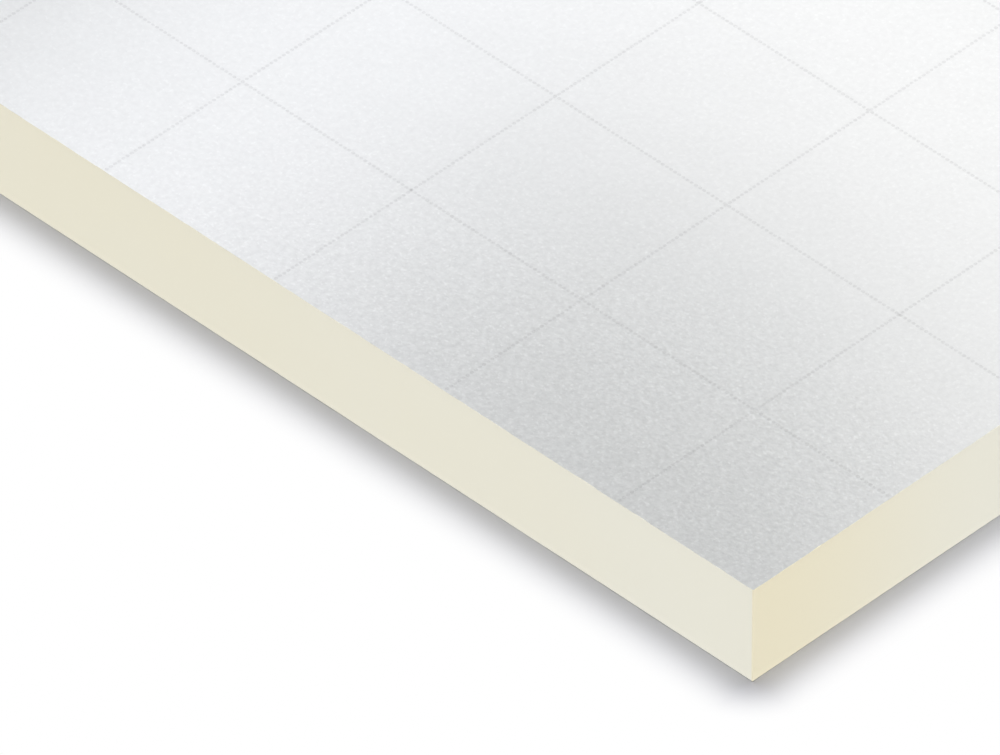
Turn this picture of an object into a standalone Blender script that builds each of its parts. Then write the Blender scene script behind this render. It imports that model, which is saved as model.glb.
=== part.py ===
"""Foil-faced polyisocyanurate insulation board, lying flat.

A rigid foam core is sawn square on all four edges, with a composite foil facer bonded to each broad face.
The origin is on the floor under the board's centre. +X runs along the board, +Y across it and +Z up.
"""

import bmesh
import bpy

# Driving dimensions, in metres
BOARD_LENGTH = 2.400
BOARD_WIDTH = 1.200
BOARD_THICKNESS = 0.100
FACER_THICKNESS = 0.0002
BOND_LINE = 0.00005

# The core fills what the two facers and their bond lines leave of the board's thickness
CORE_UNDERSIDE = FACER_THICKNESS + BOND_LINE
CORE_THICKNESS = BOARD_THICKNESS - 2 * CORE_UNDERSIDE
TOP_FACER_UNDERSIDE = CORE_UNDERSIDE + CORE_THICKNESS + BOND_LINE

# Linear colours: cream foam, and bare aluminium on the facers
FOAM_COLOUR = (0.80, 0.77, 0.64, 1.0)
FOAM_ROUGHNESS = 0.85
FOIL_COLOUR = (0.80, 0.81, 0.82, 1.0)
FOIL_ROUGHNESS = 0.40


def clear_scene():
    for obj in list(bpy.data.objects):
        bpy.data.objects.remove(obj, do_unlink=True)


def surface(name, colour, roughness, metallic):
    material = bpy.data.materials.new(name)
    material.use_nodes = True
    shader = material.node_tree.nodes["Principled BSDF"]
    shader.inputs["Base Color"].default_value = colour
    shader.inputs["Roughness"].default_value = roughness
    shader.inputs["Metallic"].default_value = metallic
    return material


def board_outline(mesh):
    """The board's rectangle, which the core and both facers share, drawn anticlockwise seen from above."""
    half_length = BOARD_LENGTH / 2
    half_width = BOARD_WIDTH / 2
    corners = (
        (-half_length, -half_width),
        (half_length, -half_width),
        (half_length, half_width),
        (-half_length, half_width),
    )
    return mesh.faces.new([mesh.verts.new((x, y, 0.0)) for x, y in corners])


def layer(name, thickness, underside, material, datum):
    """One flat layer of the laminate: the outline extruded by its thickness, standing at its height on the datum."""
    mesh = bmesh.new()
    outline = board_outline(mesh)
    raised = bmesh.ops.extrude_face_region(mesh, geom=[outline], use_keep_orig=True)
    lifted = [element for element in raised["geom"] if isinstance(element, bmesh.types.BMVert)]
    bmesh.ops.translate(mesh, verts=lifted, vec=(0.0, 0.0, thickness))
    bmesh.ops.recalc_face_normals(mesh, faces=mesh.faces)

    data = bpy.data.meshes.new(name)
    mesh.to_mesh(data)
    mesh.free()
    data.materials.append(material)

    obj = bpy.data.objects.new(name, data)
    obj.location.z = underside
    obj.parent = datum
    bpy.context.scene.collection.objects.link(obj)
    return obj


def build_board():
    foam = surface("cream_foam", FOAM_COLOUR, FOAM_ROUGHNESS, 0.0)
    foil = surface("aluminium_foil", FOIL_COLOUR, FOIL_ROUGHNESS, 1.0)

    datum = bpy.data.objects.new("board_datum", None)
    bpy.context.scene.collection.objects.link(datum)

    layer("bottom_facer", FACER_THICKNESS, 0.0, foil, datum)
    layer("foam_core", CORE_THICKNESS, CORE_UNDERSIDE, foam, datum)
    layer("top_facer", FACER_THICKNESS, TOP_FACER_UNDERSIDE, foil, datum)


clear_scene()
build_board()
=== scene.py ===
import math

import bpy
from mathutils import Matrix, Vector, noise


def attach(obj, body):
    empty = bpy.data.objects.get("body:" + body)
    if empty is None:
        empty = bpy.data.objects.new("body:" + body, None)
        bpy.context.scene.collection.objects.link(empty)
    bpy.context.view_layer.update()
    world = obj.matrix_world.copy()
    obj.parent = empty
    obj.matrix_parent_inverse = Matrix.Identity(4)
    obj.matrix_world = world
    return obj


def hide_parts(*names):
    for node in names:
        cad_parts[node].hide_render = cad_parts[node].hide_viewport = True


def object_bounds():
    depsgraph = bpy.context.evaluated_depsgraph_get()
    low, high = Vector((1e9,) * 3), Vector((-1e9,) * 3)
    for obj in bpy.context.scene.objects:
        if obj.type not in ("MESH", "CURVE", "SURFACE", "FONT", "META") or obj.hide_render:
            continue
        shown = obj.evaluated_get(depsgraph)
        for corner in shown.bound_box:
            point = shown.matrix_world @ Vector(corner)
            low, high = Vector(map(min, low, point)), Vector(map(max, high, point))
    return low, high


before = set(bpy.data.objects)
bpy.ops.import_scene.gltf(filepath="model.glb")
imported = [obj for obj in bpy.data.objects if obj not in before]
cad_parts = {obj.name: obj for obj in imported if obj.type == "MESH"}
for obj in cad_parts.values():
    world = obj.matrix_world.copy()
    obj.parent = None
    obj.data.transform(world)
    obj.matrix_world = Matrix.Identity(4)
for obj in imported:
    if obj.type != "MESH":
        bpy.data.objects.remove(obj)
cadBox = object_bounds()
boardLow, boardHigh = cadBox
boardLength = boardHigh.x - boardLow.x
boardWidth = boardHigh.y - boardLow.y
boardTop = boardHigh.z
print("frame loaded:", sorted(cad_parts))

mm = 0.001


# Node trees, for shaders and for geometry

class Wire:  # one value in a node tree, so that shader maths reads as plain maths
    def __init__(self, sheet, socket):
        self.sheet = sheet
        self.socket = socket

    def of(self, name):  # another output of the same node
        return Wire(self.sheet, self.socket.node.outputs[name])

    def __add__(self, other):
        return self.sheet.maths("ADD", self, other)

    def __radd__(self, other):
        return self.sheet.maths("ADD", other, self)

    def __sub__(self, other):
        return self.sheet.maths("SUBTRACT", self, other)

    def __rsub__(self, other):
        return self.sheet.maths("SUBTRACT", other, self)

    def __mul__(self, other):
        return self.sheet.maths("MULTIPLY", self, other)

    def __rmul__(self, other):
        return self.sheet.maths("MULTIPLY", other, self)

    def __pow__(self, other):
        return self.sheet.maths("POWER", self, other)


class NodeSheet:  # a node tree being laid out
    columns = 8
    columnWidth = 220
    rowHeight = 260

    def __init__(self, tree):
        self.tree = tree
        self.count = 0

    def node(self, kind, settings=None, values=None, output=None):
        made = self.tree.nodes.new(kind)
        self.count += 1
        row, column = divmod(self.count, self.columns)
        made.location = (self.columnWidth * column, -self.rowHeight * row)
        for name, setting in (settings or {}).items():
            if name == "stops":
                self.setStops(made.color_ramp, setting)
            else:
                setattr(made, name, setting)
        for name, value in (values or {}).items():
            socket = made.inputs[name]
            if isinstance(value, Wire):
                self.tree.links.new(value.socket, socket)
            else:
                socket.default_value = value
        shown = [o for o in made.outputs if o.enabled]
        if not shown:
            return made
        return Wire(self, made.outputs[output] if output is not None else shown[0])

    def setStops(self, ramp, stops):  # stops are places along the ramp, each with its grey level
        while len(ramp.elements) > 1:
            ramp.elements.remove(ramp.elements[-1])
        for number, (place, level) in enumerate(stops):
            stop = ramp.elements[0] if number == 0 else ramp.elements.new(place)
            stop.position = place
            stop.color = (level, level, level, 1.0)

    def maths(self, operation, first, second=0.0, clamp=False):
        settings = {"operation": operation, "use_clamp": clamp}
        return self.node("ShaderNodeMath", settings, {0: first, 1: second})

    def between(self, value, low, high):  # 0 below low and 1 above high, with soft ends
        return self.node("ShaderNodeMapRange", {"interpolation_type": "SMOOTHSTEP"}, {
            "Value": value, "From Min": low, "From Max": high,
        })

    def blend(self, share, first, second):  # mixes two colours
        first, second = ((*c, 1.0) if isinstance(c, tuple) else c for c in (first, second))
        return self.node("ShaderNodeMix", {"data_type": "RGBA"}, {0: share, 6: first, 7: second}, output=2)

    def tint(self, colour, level):  # makes a colour lighter or darker by a value
        return self.node("ShaderNodeVectorMath", {"operation": "SCALE"}, {0: colour, "Scale": level})

    def noiseAt(self, place, size, detail=2.0, roughness=0.5):  # size is a patch's width in metres
        return self.node("ShaderNodeTexNoise", {"noise_dimensions": "3D"}, {
            "Vector": place, "Scale": 1.0 / size, "Detail": detail, "Roughness": roughness,
        })

    def axes(self, place):  # splits a place into X, Y and Z
        return self.node("ShaderNodeSeparateXYZ", None, {"Vector": place})


class Finish(NodeSheet):  # a material with one Principled shader, whose fixed values are set on its sockets
    def __init__(self, name, fixed):
        self.material = bpy.data.materials.new(name)
        self.material.use_nodes = True
        super().__init__(self.material.node_tree)
        self.shader = self.tree.nodes["Principled BSDF"]
        self.shader.location = (1900, 0)
        self.tree.nodes["Material Output"].location = (2300, 0)
        for socket, value in fixed.items():
            self.shader.inputs[socket].default_value = value
        self.place = self.node("ShaderNodeTexCoord", output="Object")

    def feed(self, **wires):
        for socket, wire in wires.items():
            self.tree.links.new(wire.socket, self.shader.inputs[socket.replace("_", " ")])

    def bump(self, height, distance, strength=1.0):
        values = {"Height": height, "Distance": distance, "Strength": strength}
        return self.node("ShaderNodeBump", None, values)


# The laminate's own shape, which the foam and both facers share

sheetSizes = {
    "cellSize": 15 * mm,  # spacing of the points over a broad face
    "edgeCuts": 3,  # points to each cell along the trimmed edges
    "rippleHeight": 0.12 * mm,  # the facer's rise and fall, from the foam's push against the press
    "rippleWidth": 110 * mm,
    "fineRipple": {"finer": 2.6, "share": 0.4, "layer": 7.0},  # a second one, in another layer of the noise
    "undersideShift": 5.0,  # how far along the same noise the underside takes its ripple
    "rippleSink": 0.20 * mm,  # the mean surface lies this far inside the nominal thickness
    "facerThickness": 0.20 * mm,
    "facerSetBack": 0.10 * mm,  # the saw's mean trim of the foil, behind the foam's face
    "facerRag": 0.60 * mm,  # how far the foil's cut edge wanders
    "facerRagLength": 13 * mm,
    "fineRag": {"finer": 3, "share": 0.5},  # a second wander
    "ragLayer": 3.0,  # of the noise, and one layer further for the top facer and back for the other
    "sharpFrom": 35,  # degrees between two faces from which their edge stays sharp
}


def ripple(x, y, outerSide):
    # outerSide is 1 on top of the board and -1 underneath
    if outerSide < 0:
        x += sheetSizes["undersideShift"]
    fine = sheetSizes["fineRipple"]
    wide = noise.noise(Vector((x, y, 0.0)) / sheetSizes["rippleWidth"])
    narrow = noise.noise(Vector((x, y, fine["layer"])) * fine["finer"] / sheetSizes["rippleWidth"])
    return sheetSizes["rippleHeight"] * (wide + fine["share"] * narrow)


def broadFace():
    # a grid over the board with extra points along its rim; gives the points, the faces and the rim in order
    cell = sheetSizes["cellSize"]
    cuts = sheetSizes["edgeCuts"]
    across = round(boardLength / cell)
    deep = round(boardWidth / cell)
    points = []
    index = {}

    def pointAt(i, j):  # i and j count cells, and take fractions of one on the rim
        key = (round(i * cuts), round(j * cuts))
        if key not in index:
            index[key] = len(points)
            points.append((boardLow.x + boardLength * i / across, boardLow.y + boardWidth * j / deep))
        return index[key]

    steps = [k / cuts for k in range(cuts)]
    faces = []
    for i in range(across):
        for j in range(deep):
            front = steps if j == 0 else [0]
            right = steps if i == across - 1 else [0]
            back = steps if j == deep - 1 else [0]
            left = steps if i == 0 else [0]
            faces.append(
                [pointAt(i + s, j) for s in front]
                + [pointAt(i + 1, j + s) for s in right]
                + [pointAt(i + 1 - s, j + 1) for s in back]
                + [pointAt(i, j + 1 - s) for s in left]
            )
    rim = [pointAt(k / cuts, 0) for k in range(across * cuts)]
    rim += [pointAt(across, k / cuts) for k in range(deep * cuts)]
    rim += [pointAt(across - k / cuts, deep) for k in range(across * cuts)]
    rim += [pointAt(0, deep - k / cuts) for k in range(deep * cuts)]
    return points, faces, rim


facePoints, faceCells, faceRim = broadFace()
rimSet = set(faceRim)
print("broad face:", len(facePoints), "points,", len(faceCells), "cells,", len(faceRim), "on the rim")


def drawnIn(x, y, amount):
    # moves a rim point squarely in from the edges that it lies on
    nearly = 1e-6
    if x < boardLow.x + nearly:
        x += amount
    elif x > boardHigh.x - nearly:
        x -= amount
    if y < boardLow.y + nearly:
        y += amount
    elif y > boardHigh.y - nearly:
        y -= amount
    return x, y


def solidPiece(name, vertices, faces, material):
    mesh = bpy.data.meshes.new(name)
    mesh.from_pydata(vertices, [], faces)
    mesh.update()
    mesh.materials.append(material)
    mesh.shade_smooth()
    mesh.set_sharp_from_angle(angle=math.radians(sheetSizes["sharpFrom"]))
    piece = bpy.data.objects.new(name, mesh)
    bpy.context.scene.collection.objects.link(piece)
    return piece


def facerSheet(name, outerSide, material):
    layer = sheetSizes["ragLayer"] + outerSide
    rag = sheetSizes["facerRag"]
    ragLength = sheetSizes["facerRagLength"]
    fine = sheetSizes["fineRag"]
    nominal = boardTop if outerSide > 0 else boardLow.z
    outer = []
    inner = []
    for number, (x, y) in enumerate(facePoints):
        z = nominal - outerSide * (sheetSizes["rippleSink"] - ripple(x, y, outerSide))
        if number in rimSet:
            wander = noise.noise(Vector((x, y, layer)) / ragLength)
            wander += fine["share"] * noise.noise(Vector((x, y, -layer)) * fine["finer"] / ragLength)
            x, y = drawnIn(x, y, sheetSizes["facerSetBack"] + rag * abs(wander))
        outer.append((x, y, z))
        inner.append((x, y, z - outerSide * sheetSizes["facerThickness"]))
    return wrapped(name, outer, inner, faceCells, faceRim, outerSide, material)


def wrapped(name, outer, inner, cells, rim, outerSide, material):
    # two matching faces joined by a wall round their rims
    count = len(outer)
    top, under = (outer, inner) if outerSide > 0 else (inner, outer)
    vertices = top + under
    faces = [list(c) for c in cells]
    faces += [[count + p for p in reversed(c)] for c in cells]
    for here, there in zip(rim, rim[1:] + rim[:1]):
        faces.append([here, count + here, count + there, there])
    return solidPiece(name, vertices, faces, material)


# Finishes

foilLook = {
    "colour": (0.878, 0.896, 0.887),
    "roughness": 0.29,
    "grainSize": 4.8 * mm,  # the satin mottle
    "paintedGlintSize": 3.0 * mm,  # painted glints in it: lighter spots in the colour that stand in for facets catching the light
    "paintedGlintFrom": (0.56, 0.76),  # the noise levels between which a painted glint shows
    "reliefSize": 3.2 * mm,
    "reliefDepth": 0.09 * mm,
    "cloudSize": 45 * mm,
    "shading": {"grain": 0.33, "paintedGlint": 0.11, "cloud": 0.03},  # how much each changes the colour
    "paintedReflectionFade": 0.58,  # how much of the mottle, glints and relief is weakened away from the near corner, where the foil mirrors the bright softboxes: painted light, the grain's contrast set by the reflection
    "paintedReflectionFadeReach": (0.40, 0.95),  # the distances over which it is lost
    "paintedReflectionFadeAcross": 2.6,  # how much sooner it is lost across the board than along it
    "scatter": 0.06,  # how much the mottle changes the roughness
    "smoothest": -0.01,  # the most that it takes from the roughness
    "brightest": 1.12,  # the most that all of it lightens the colour
}

foamLook = {
    "cream": (0.800, 0.765, 0.625),
    "ivory": (0.800, 0.782, 0.680),
    "straw": (0.805, 0.745, 0.560),  # where light has yellowed the end
    "strawReach": 0.30,  # how far the yellowing runs along the end from its front corner
    "strawDepth": (0.5 * mm, 2 * mm),  # how deep behind the end's face it fades
    "ivoryReach": 0.85,  # how far along the front edge the cream takes to turn full
    "patchSize": 0.22,  # of the patches in which ivory and cream mix
    "patchShare": 0.8,
    "roughness": 0.9,
    "gleam": 0.25,
    "cellSize": 0.45 * mm,
    "mottleSize": 3 * mm,
    "mottleLevels": (0.985, 0.02),  # the darkest, and how much lighter the mottle gets
    "mottleHeight": 0.8,  # against the cells
    "cellDepth": 0.12 * mm,
    "cellStrength": 0.5,
}

inkLook = {
    "colour": (0.789, 0.804, 0.797),  # of the foil seen through the thin grey film
    "roughness": 0.31,
    "patchSize": 1.1 * mm,
    "coverLevels": (0.85, 0.3),  # the darkest, and how much lighter thin patches get
}


def embossing(f):
    # the foil's fine texture, which the ink lies over: how light it is, how much rougher, and how high
    grain = f.noiseAt(f.place, foilLook["grainSize"], detail=3.0, roughness=0.6) - 0.5
    # painted glints: spots where the foil's colour is lightened, as if facets caught the light
    paintedGlint = f.between(f.noiseAt(f.place, foilLook["paintedGlintSize"], detail=1.0), *foilLook["paintedGlintFrom"])
    cloud = f.noiseAt(f.place, foilLook["cloudSize"], detail=3.0) - 0.5
    relief = f.noiseAt(f.place, foilLook["reliefSize"])
    where = f.axes(f.place)
    along = boardHigh.x - where.of("X")
    across = (where.of("Y") - boardLow.y) * foilLook["paintedReflectionFadeAcross"]
    fromCorner = f.maths("SQRT", along * along + across * across)
    # painted light: the mottle's colour contrast is weakened where the foil mirrors the bright softboxes,
    # and the relief and roughness scatter fade with it
    keptOutsideReflection = 1 - foilLook["paintedReflectionFade"] * f.between(fromCorner, *foilLook["paintedReflectionFadeReach"])
    shading = foilLook["shading"]
    shade = 1 + keptOutsideReflection * (shading["grain"] * grain + shading["paintedGlint"] * paintedGlint) + shading["cloud"] * cloud
    rougher = f.maths("MAXIMUM", foilLook["scatter"] * grain * keptOutsideReflection, foilLook["smoothest"])
    return f.maths("MINIMUM", shade, foilLook["brightest"]), rougher, relief * keptOutsideReflection


def foilFinish(name):
    f = Finish(name, {"Metallic": 1.0})
    shade, rougher, relief = embossing(f)
    f.feed(
        Base_Color=f.tint(foilLook["colour"], shade),
        Roughness=foilLook["roughness"] + rougher,
        Normal=f.bump(relief, foilLook["reliefDepth"]),
    )
    return f.material


def foamFinish(name):
    look = foamLook
    f = Finish(name, {"Metallic": 0.0, "Roughness": look["roughness"], "Specular IOR Level": look["gleam"]})
    where = f.axes(f.place)
    alongEnd = where.of("Y") - boardLow.y
    alongFront = boardHigh.x - where.of("X")
    shallow, deep = look["strawDepth"]
    yellowed = f.between(alongEnd, look["strawReach"], 0.0) * f.between(alongFront, deep, shallow)
    fresh = f.between(alongFront, look["ivoryReach"], 0.0)
    patches = look["patchShare"] * (f.noiseAt(f.place, look["patchSize"]) - 0.5)
    cream = f.blend(f.maths("ADD", fresh, patches, clamp=True), look["cream"], look["ivory"])
    colour = f.blend(yellowed, cream, look["straw"])
    cells = f.node("ShaderNodeTexVoronoi", {"feature": "F1"}, {
        "Vector": f.place, "Scale": 1.0 / look["cellSize"],
    })
    mottle = f.noiseAt(f.place, look["mottleSize"], detail=3.0, roughness=0.6)
    darkest, lighter = look["mottleLevels"]
    f.feed(
        Base_Color=f.tint(colour, darkest + lighter * mottle),
        Normal=f.bump(cells + look["mottleHeight"] * mottle, look["cellDepth"], look["cellStrength"]),
    )
    return f.material


def inkFinish(name):
    f = Finish(name, {"Metallic": 1.0})
    shade, rougher, relief = embossing(f)
    cover = f.noiseAt(f.place, inkLook["patchSize"])
    darkest, lighter = inkLook["coverLevels"]
    f.feed(
        Base_Color=f.tint(inkLook["colour"], shade * (darkest + lighter * cover)),
        Roughness=inkLook["roughness"] + rougher,
        Normal=f.bump(relief, foilLook["reliefDepth"]),
    )
    return f.material


foilTop = foilFinish("satinFoilPrintedSide")
foilUnder = foilFinish("satinFoilPlainSide")
foamCut = foamFinish("sawnCreamFoam")
greyInk = inkFinish("greyPrintingInk")
print("finishes ready")


# Foam slab and facers

slabSizes = {
    "bond": 0.02 * mm,  # between the foam and each facer
    "rows": 14,  # rows of points up a sawn face
    "arris": 0.25 * mm,  # rounding where the foam crumbles at its upper and lower arrises
    "arrisTurns": (0, 30, 60, 90),  # the degrees round it at which there is a row of points
    "wander": 0.10 * mm,  # how far the saw wanders off its line
    "wanderLength": 60 * mm,
}


def foamSlab(material):
    facer = sheetSizes["facerThickness"] + slabSizes["bond"] + sheetSizes["rippleSink"]
    top = [boardTop - facer + ripple(x, y, 1) for x, y in facePoints]
    under = [boardLow.z + facer - ripple(x, y, -1) for x, y in facePoints]
    arris = slabSizes["arris"]
    turn = [math.radians(a) for a in slabSizes["arrisTurns"]]
    # each level: how far up between the two faces, a fixed rise, and how far it is drawn in
    levels = [(0.0, arris * (1 - math.cos(a)), arris * (1 - math.sin(a))) for a in turn]
    rows = slabSizes["rows"]
    levels += [(k / rows, arris * (1 - 2 * k / rows), 0.0) for k in range(1, rows)]
    levels += [(1.0, -arris * (1 - math.cos(a)), arris * (1 - math.sin(a))) for a in reversed(turn)]
    vertices = []
    ring = []
    for share, rise, inset in levels:
        row = []
        for number in faceRim:
            x, y = facePoints[number]
            z = under[number] + share * (top[number] - under[number]) + rise
            wander = noise.noise(Vector((x, y, z)) / slabSizes["wanderLength"])
            px, py = drawnIn(x, y, inset + slabSizes["wander"] * (0.5 + 0.5 * wander))
            row.append(len(vertices))
            vertices.append((px, py, z))
        ring.append(row)
    faces = []
    for low, high in zip(ring, ring[1:]):
        for k in range(len(faceRim)):
            n = (k + 1) % len(faceRim)
            faces.append([low[k], low[n], high[n], high[k]])
    for heights, row, upward in ((top, ring[-1], True), (under, ring[0], False)):
        ids = {number: row[k] for k, number in enumerate(faceRim)}
        for number, (x, y) in enumerate(facePoints):
            if number not in rimSet:
                ids[number] = len(vertices)
                vertices.append((x, y, heights[number]))
        for c in faceCells:
            loop = [ids[p] for p in c]
            faces.append(loop if upward else loop[::-1])
    return solidPiece("foamSlab", vertices, faces, material)


slab = foamSlab(foamCut)
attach(slab, "root")
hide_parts("foam_core")
print("foam slab:", len(slab.data.polygons), "faces")

printedFacer = facerSheet("printedFacer", 1, foilTop)
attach(printedFacer, "root")
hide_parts("top_facer")

plainFacer = facerSheet("plainFacer", -1, foilUnder)
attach(plainFacer, "root")
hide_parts("bottom_facer")
print("facers:", len(printedFacer.data.polygons), "faces each")


# Printed grid

gridPrint = {
    "firstAcross": 156.7 * mm,  # from the near short end to the first line across the board
    "pitchAcross": 200 * mm,
    "firstAlong": 162.8 * mm,  # from the near long edge to the first line along the board
    "pitchAlong": 1200 / 7 * mm,
    "dashPitch": 4.85 * mm,
    "dashLength": 3.9 * mm,
    "dashWidth": 3.3 * mm,
    "dashCorners": 8,
    "inkHeight": 0.03 * mm,
    "inkSink": 0.3,  # share of the ink's height that lies in the foil's texture
    "unevenness": 0.12,
    "dropHeight": 50 * mm,  # the dashes are dropped on the foil from this far above it
}


def dashTree():
    tree = bpy.data.node_groups.new("dottedGridPrint", "GeometryNodeTree")
    tree.is_modifier = True
    tree.interface.new_socket("Geometry", in_out="OUTPUT", socket_type="NodeSocketGeometry")
    wanted = (
        ("Dashes", "NodeSocketInt"), ("Lines", "NodeSocketInt"),
        ("Dash Pitch", "NodeSocketFloat"), ("Line Pitch", "NodeSocketFloat"),
        ("Dash Length", "NodeSocketFloat"), ("Dash Width", "NodeSocketFloat"),
        ("Ink Height", "NodeSocketFloat"), ("Ink Sink", "NodeSocketFloat"),
        ("Dash Corners", "NodeSocketInt"), ("Drop Height", "NodeSocketFloat"),
        ("Unevenness", "NodeSocketFloat"), ("Middle", "NodeSocketVector"), ("Turn", "NodeSocketFloat"),
        ("Seed", "NodeSocketInt"), ("Sheet", "NodeSocketObject"), ("Ink", "NodeSocketMaterial"),
    )
    for name, kind in wanted:
        tree.interface.new_socket(name, in_out="INPUT", socket_type=kind)
    g = NodeSheet(tree)
    given = g.node("NodeGroupInput")

    def part(name):
        return given.of(name)

    lattice = g.node("GeometryNodeMeshGrid", None, {
        "Size X": part("Dash Pitch") * (part("Dashes") - 1),
        "Size Y": part("Line Pitch") * (part("Lines") - 1),
        "Vertices X": part("Dashes"),
        "Vertices Y": part("Lines"),
    })
    turned = g.node("GeometryNodeTransform", None, {
        "Geometry": lattice,
        "Translation": part("Middle"),
        "Rotation": g.node("ShaderNodeCombineXYZ", None, {"Z": part("Turn")}),
    })
    sheet = g.node("GeometryNodeObjectInfo", None, {"Object": part("Sheet")}, output="Geometry")
    above = g.node("ShaderNodeVectorMath", {"operation": "ADD"}, {
        0: g.node("GeometryNodeInputPosition"),
        1: g.node("ShaderNodeCombineXYZ", None, {"Z": part("Drop Height")}),
    })
    fall = g.node("GeometryNodeRaycast", None, {
        "Target Geometry": sheet, "Source Position": above, "Ray Direction": (0, 0, -1), "Ray Length": 1.0,
    }, output="Hit Position")
    lift = g.node("ShaderNodeCombineXYZ", None, {"Z": part("Ink Height") * (0.5 - part("Ink Sink"))})
    laid = g.node("GeometryNodeSetPosition", None, {"Geometry": turned, "Position": fall, "Offset": lift})
    dash = g.node("GeometryNodeMeshCylinder", None, {
        "Vertices": part("Dash Corners"), "Radius": 0.5, "Depth": 1.0,
    }, output="Mesh")

    def uneven(offset):
        spread = part("Unevenness")
        return g.node("FunctionNodeRandomValue", {"data_type": "FLOAT"}, {
            2: 1 - spread, 3: 1 + spread, 8: part("Seed") + offset,
        }, output=1)

    size = g.node("ShaderNodeCombineXYZ", None, {
        "X": part("Dash Length") * uneven(0), "Y": part("Dash Width") * uneven(1), "Z": part("Ink Height"),
    })
    placed = g.node("GeometryNodeInstanceOnPoints", None, {
        "Points": laid, "Instance": dash, "Scale": size,
        "Rotation": g.node("ShaderNodeCombineXYZ", None, {"Z": part("Turn")}),
    })
    real = g.node("GeometryNodeRealizeInstances", None, {"Geometry": placed})
    inked = g.node("GeometryNodeSetMaterial", None, {"Geometry": real, "Material": part("Ink")})
    g.node("NodeGroupOutput", None, {"Geometry": inked})
    return tree


def grown(name, tree, given):
    # runs a geometry tree on an empty mesh and keeps the result as a plain mesh
    maker = bpy.data.objects.new(name + "Maker", bpy.data.meshes.new(name + "Maker"))
    bpy.context.scene.collection.objects.link(maker)
    modifier = maker.modifiers.new("tree", "NODES")
    modifier.node_group = tree
    for item in tree.interface.items_tree:
        if item.in_out == "INPUT" and item.name in given:
            modifier[item.identifier] = given[item.name]
    maker.update_tag()
    graph = bpy.context.evaluated_depsgraph_get()
    mesh = bpy.data.meshes.new_from_object(maker.evaluated_get(graph), depsgraph=graph)
    mesh.name = name
    bpy.data.objects.remove(maker, do_unlink=True)
    piece = bpy.data.objects.new(name, mesh)
    bpy.context.scene.collection.objects.link(piece)
    return piece


def dottedLines(tree, way, seed):
    # way is Along or Across the board
    isAlong = way == "Along"
    first = gridPrint["first" + way]
    pitch = gridPrint["pitch" + way]
    run, reach = (boardLength, boardWidth) if isAlong else (boardWidth, boardLength)
    lines = int((reach - first) / pitch) + 1
    halfway = first + pitch * (lines - 1) / 2
    middle = (0.0, boardLow.y + halfway, boardTop) if isAlong else (boardHigh.x - halfway, 0.0, boardTop)
    return grown("lines" + way, tree, {
        "Dashes": int(run / gridPrint["dashPitch"]), "Lines": lines,
        "Dash Pitch": gridPrint["dashPitch"], "Line Pitch": pitch,
        "Dash Length": gridPrint["dashLength"], "Dash Width": gridPrint["dashWidth"],
        "Dash Corners": gridPrint["dashCorners"], "Drop Height": gridPrint["dropHeight"],
        "Ink Height": gridPrint["inkHeight"], "Ink Sink": gridPrint["inkSink"],
        "Unevenness": gridPrint["unevenness"], "Seed": seed,
        "Middle": middle, "Turn": 0.0 if isAlong else math.pi / 2,
        "Sheet": printedFacer, "Ink": greyInk,
    })


dashPrint = dashTree()
linesAlong = dottedLines(dashPrint, "Along", 1)
linesAcross = dottedLines(dashPrint, "Across", 2)
for lines in (linesAlong, linesAcross):
    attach(lines, "root")
    print(lines.name + ":", len(lines.data.polygons), "faces")


# Studio

studio = {
    "floorRadius": 70.0,
    "floorCorners": 96,
    # a darker bluish grey than the white beyond the band: a painted deepening of the shadow near the board,
    # which also cancels the foam's cream bounce in it
    "floorColour": (0.654, 0.659, 0.703, 1.0),
    "paintedShadowFade": (6 * mm, 56 * mm),  # the band round the board over which the floor turns to plain white glow, a painted fade of the lamps' shadow
    "paintedShadowCorner": 1.5,  # 2 rounds the painted fade at the board's corners, and 1 cuts it straight across
    "wideLightDistance": 8.0,  # changes nothing in the picture
    "softboxHeight": 1.3,
    "airLight": 0.15,  # how much of the white air lights matt surfaces
    "airLevels": (  # how white the air is, by the sine of elevation
        (0.0, 1.0), (0.10, 0.95), (0.26, 0.73), (0.45, 0.68), (0.71, 0.495), (1.0, 0.44),
    ),
}


def studioFloor():
    f = Finish("paleFloor", {
        "Roughness": 0.9, "Specular IOR Level": 0.0, "Base Color": studio["floorColour"],
    })
    f.material.cycles.emission_sampling = "NONE"
    place = f.axes(f.place)
    pastEnd = f.maths("MAXIMUM", f.maths("ABSOLUTE", place.of("X")) - boardLength / 2, 0.0)
    pastSide = f.maths("MAXIMUM", f.maths("ABSOLUTE", place.of("Y")) - boardWidth / 2, 0.0)
    bend = studio["paintedShadowCorner"]
    away = (pastEnd ** bend + pastSide ** bend) ** (1 / bend)
    white = f.node("ShaderNodeEmission", None, {"Color": (1, 1, 1, 1), "Strength": 1.0})
    matt = f.node("ShaderNodeLightPath", output="Is Diffuse Ray")  # matt walls see the floor as plain white
    # painted shadow fade: the floor's real shadow is blended into a white glow over the band round the board
    whiteShare = f.maths("MAXIMUM", f.between(away, *studio["paintedShadowFade"]), matt)
    mixed = f.node("ShaderNodeMixShader", None, {
        0: whiteShare, 1: Wire(f, f.shader.outputs["BSDF"]), 2: white,
    })
    f.tree.links.new(mixed.socket, f.tree.nodes["Material Output"].inputs["Surface"])
    radius = studio["floorRadius"]
    corners = studio["floorCorners"]
    points = []
    for number in range(corners):
        angle = math.tau * number / corners
        points.append((radius * math.cos(angle), radius * math.sin(angle), 0.0))
    mesh = bpy.data.meshes.new("floor")
    mesh.from_pydata(points, [], [list(range(corners))])
    mesh.materials.append(f.material)
    floor = bpy.data.objects.new("floor", mesh)
    bpy.context.scene.collection.objects.link(floor)


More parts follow.
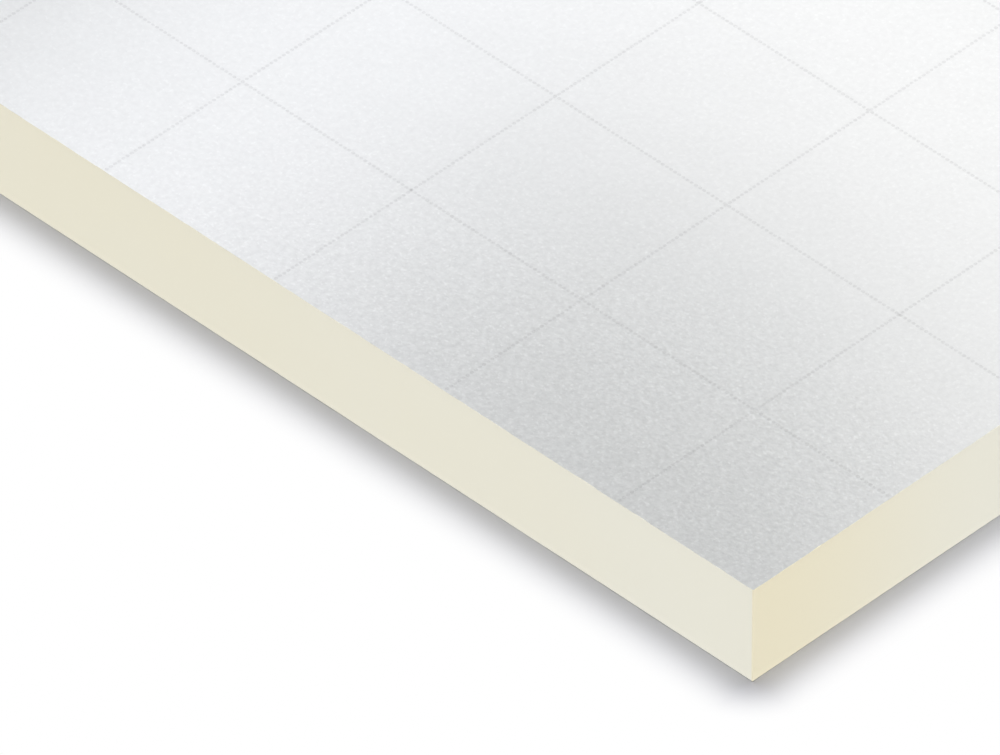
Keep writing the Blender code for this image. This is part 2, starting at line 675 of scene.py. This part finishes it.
def studioAir():
    world = bpy.data.worlds.new("studioAir")
    bpy.context.scene.world = world
    world.use_nodes = True
    w = NodeSheet(world.node_tree)
    way = w.node("ShaderNodeTexCoord", output="Generated")
    level = w.node("ShaderNodeValToRGB", {"stops": studio["airLevels"]}, {"Fac": w.axes(way).of("Z")})
    matt = w.node("ShaderNodeLightPath", output="Is Diffuse Ray")
    strength = (1 - matt) * level + matt * studio["airLight"]
    w.tree.links.new(strength.socket, world.node_tree.nodes["Background"].inputs["Strength"])
    world.node_tree.nodes["Background"].inputs["Color"].default_value = (1, 1, 1, 1)


studioFloor()
studioAir()
print("floor and air ready")


def directionTo(azimuth, elevation):
    # in degrees; azimuth 0 is in front of the long edge, and 90 past the near short end
    azimuth, elevation = math.radians(azimuth), math.radians(elevation)
    level = math.cos(elevation)
    return Vector((math.sin(azimuth) * level, -math.cos(azimuth) * level, math.sin(elevation)))


def turnedBackFrom(way):
    # the turn that points a lamp or the camera back along a direction, at the board
    return (-way).to_track_quat("-Z", "Y").to_euler()


# Wide, far lights for the matt surfaces, which the foil doesn't mirror; their width is in degrees
wideLights = {
    "keyLight": {"azimuth": 224, "elevation": 71, "width": 46, "level": 1.15},
    "frontLight": {"azimuth": 45, "elevation": 5, "width": 10, "level": 0.60},
    "rearLight": {"azimuth": 225, "elevation": 5, "width": 10, "level": 0.18},
}

# Softboxes over the board, which give the foil its gradient
softboxes = {
    "stripBox": {"middle": (-0.54, 0.31), "size": (0.48, 1.42), "level": 0.78, "colour": (1.0, 0.985, 1.06)},
    "backBox": {"middle": (-0.30, 1.11), "size": (1.09, 0.82), "level": 0.70, "colour": (1.02, 0.99, 1.01)},
    "sideBox": {"middle": (0.67, 0.75), "size": (0.77, 0.66), "level": 0.49, "colour": (1.02, 0.99, 1.0)},
}

# Low panels round the board, which only the foil mirrors, in views from nearer the floor
panels = {
    "azimuths": (-6, 35, 84, 130, 176, 222, 268, 318),
    "distance": 2.6,
    "height": 0.75,
    "size": (1.0, 0.9),
    "level": 0.26,
}


def addLamp(name, lamp, place):
    holder = bpy.data.objects.new(name, lamp)
    holder.location = place
    holder.visible_camera = False
    bpy.context.scene.collection.objects.link(holder)
    return holder


def areaLamp(name, size, level):
    # a rectangle that looks as bright as its level from any side
    lamp = bpy.data.lights.new(name, "AREA")
    lamp.shape = "RECTANGLE"
    lamp.size, lamp.size_y = size
    lamp.energy = level * math.pi * lamp.size * lamp.size_y
    return lamp


def addLamps():
    for name, given in wideLights.items():
        lamp = bpy.data.lights.new(name, "SUN")
        lamp.angle = math.radians(given["width"])
        lamp.energy = given["level"] * math.pi
        way = directionTo(given["azimuth"], given["elevation"])
        holder = addLamp(name, lamp, way * studio["wideLightDistance"])
        holder.rotation_euler = turnedBackFrom(way)
        holder.visible_glossy = False
    for name, given in softboxes.items():
        lamp = areaLamp(name, given["size"], given["level"])
        lamp.color = given["colour"]
        addLamp(name, lamp, (*given["middle"], studio["softboxHeight"]))
    for number, azimuth in enumerate(panels["azimuths"]):
        lamp = areaLamp(f"panel{number + 1}", panels["size"], panels["level"])
        way = directionTo(azimuth, 0)
        holder = addLamp(lamp.name, lamp, way * panels["distance"] + Vector((0, 0, panels["height"])))
        holder.rotation_euler = turnedBackFrom(way)
        holder.visible_diffuse = False


addLamps()
print("lamps ready")

cameraPlace = {
    "azimuth": 44.693,
    "elevation": 40.646,
    "distance": 20.6646,
    "aim": (0.86463, -0.55581, 0.1),
    "lens": 900,
    "sensor": 36,
    "clip": (1.0, 200.0),
}


def photoCamera():
    data = bpy.data.cameras.new("camera")
    data.lens = cameraPlace["lens"]
    data.sensor_width = cameraPlace["sensor"]
    data.clip_start, data.clip_end = cameraPlace["clip"]
    back = directionTo(cameraPlace["azimuth"], cameraPlace["elevation"])
    camera = bpy.data.objects.new("camera", data)
    camera.location = Vector(cameraPlace["aim"]) + back * cameraPlace["distance"]
    camera.rotation_euler = turnedBackFrom(back)
    bpy.context.scene.collection.objects.link(camera)
    bpy.context.scene.camera = camera


photoCamera()
bpy.context.scene.view_settings.view_transform = "Standard"
print("camera ready")
